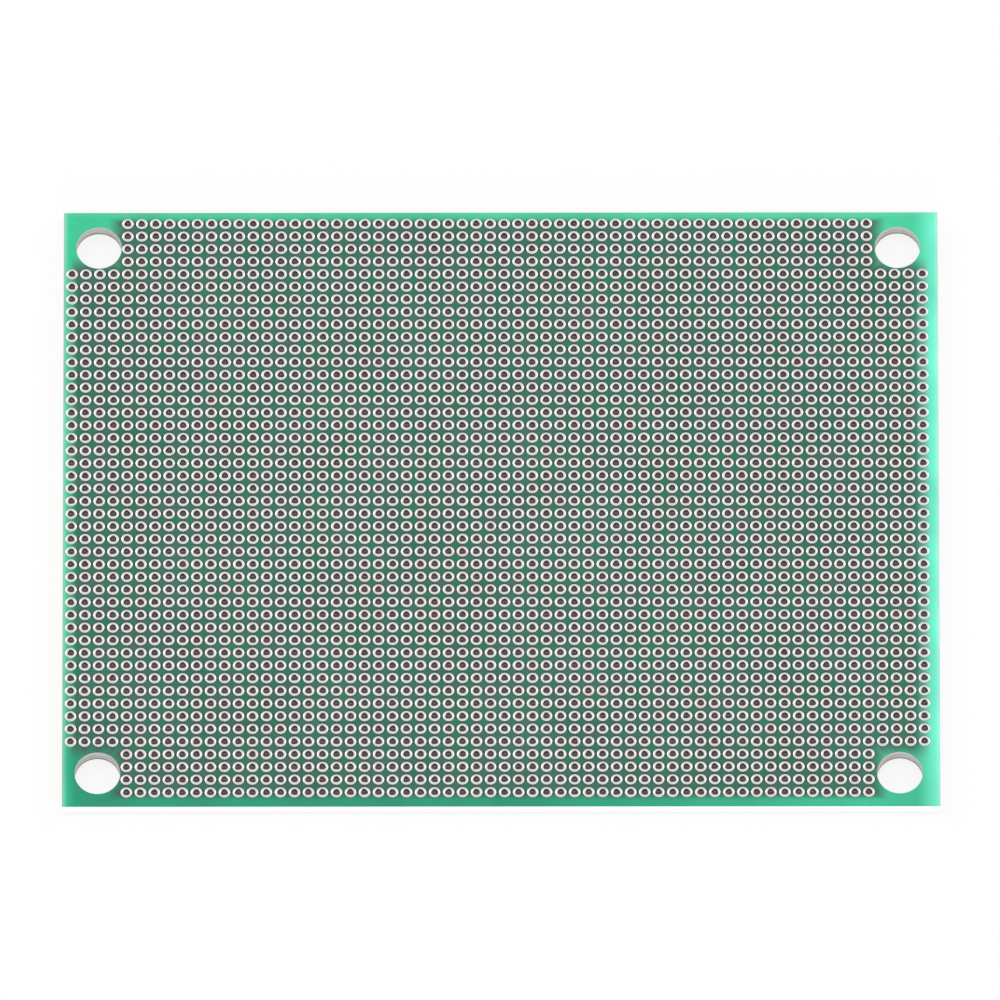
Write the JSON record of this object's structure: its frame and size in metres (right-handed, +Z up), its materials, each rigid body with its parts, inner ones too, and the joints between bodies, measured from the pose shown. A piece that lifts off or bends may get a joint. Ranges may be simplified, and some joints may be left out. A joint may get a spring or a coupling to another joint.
{
  "type": "prototyping circuit board",
  "caption": "Flat rectangular double-sided prototyping board with a fine square grid of plated-through round pads and a screw hole near each corner.",
  "frame": {"origin": "on the plane of the bottom pads, under the middle of the board", "axes": "+X along the long side, +Y along the short side towards the back edge, +Z up through the board's thickness"},
  "size_m": [0.0796, 0.0598, 0.0015],
  "materials": {
    "laminate": "glass-epoxy sheet with a green solder mask, semi-gloss",
    "tinned_copper": "hot-air-levelled tin over copper, bright"
  },
  "bodies": {
    "root": {"substrate": "laminate", "pads_row_01": "tinned_copper", "pads_row_02": "tinned_copper", "pads_row_03": "tinned_copper", "pads_row_04": "tinned_copper", "pads_row_05": "tinned_copper", "pads_row_06": "tinned_copper", "pads_row_07": "tinned_copper", "pads_row_08": "tinned_copper", "pads_row_09": "tinned_copper", "pads_row_10": "tinned_copper", "pads_row_11": "tinned_copper", "pads_row_12": "tinned_copper", "pads_row_13": "tinned_copper", "pads_row_14": "tinned_copper", "pads_row_15": "tinned_copper", "pads_row_16": "tinned_copper", "pads_row_17": "tinned_copper", "pads_row_18": "tinned_copper", "pads_row_19": "tinned_copper", "pads_row_20": "tinned_copper", "pads_row_21": "tinned_copper", "pads_row_22": "tinned_copper", "pads_row_23": "tinned_copper", "pads_row_24": "tinned_copper", "pads_row_25": "tinned_copper", "pads_row_26": "tinned_copper", "pads_row_27": "tinned_copper", "pads_row_28": "tinned_copper", "pads_row_29": "tinned_copper", "pads_row_30": "tinned_copper", "pads_row_31": "tinned_copper", "pads_row_32": "tinned_copper", "pads_row_33": "tinned_copper", "pads_row_34": "tinned_copper", "pads_row_35": "tinned_copper", "pads_row_36": "tinned_copper", "pads_row_37": "tinned_copper", "pads_row_38": "tinned_copper", "pads_row_39": "tinned_copper", "pads_row_40": "tinned_copper", "pads_row_41": "tinned_copper", "pads_row_42": "tinned_copper", "pads_row_43": "tinned_copper", "pads_row_44": "tinned_copper", "pads_row_45": "tinned_copper", "pads_row_46": "tinned_copper"}
  },
  "joints": []
}
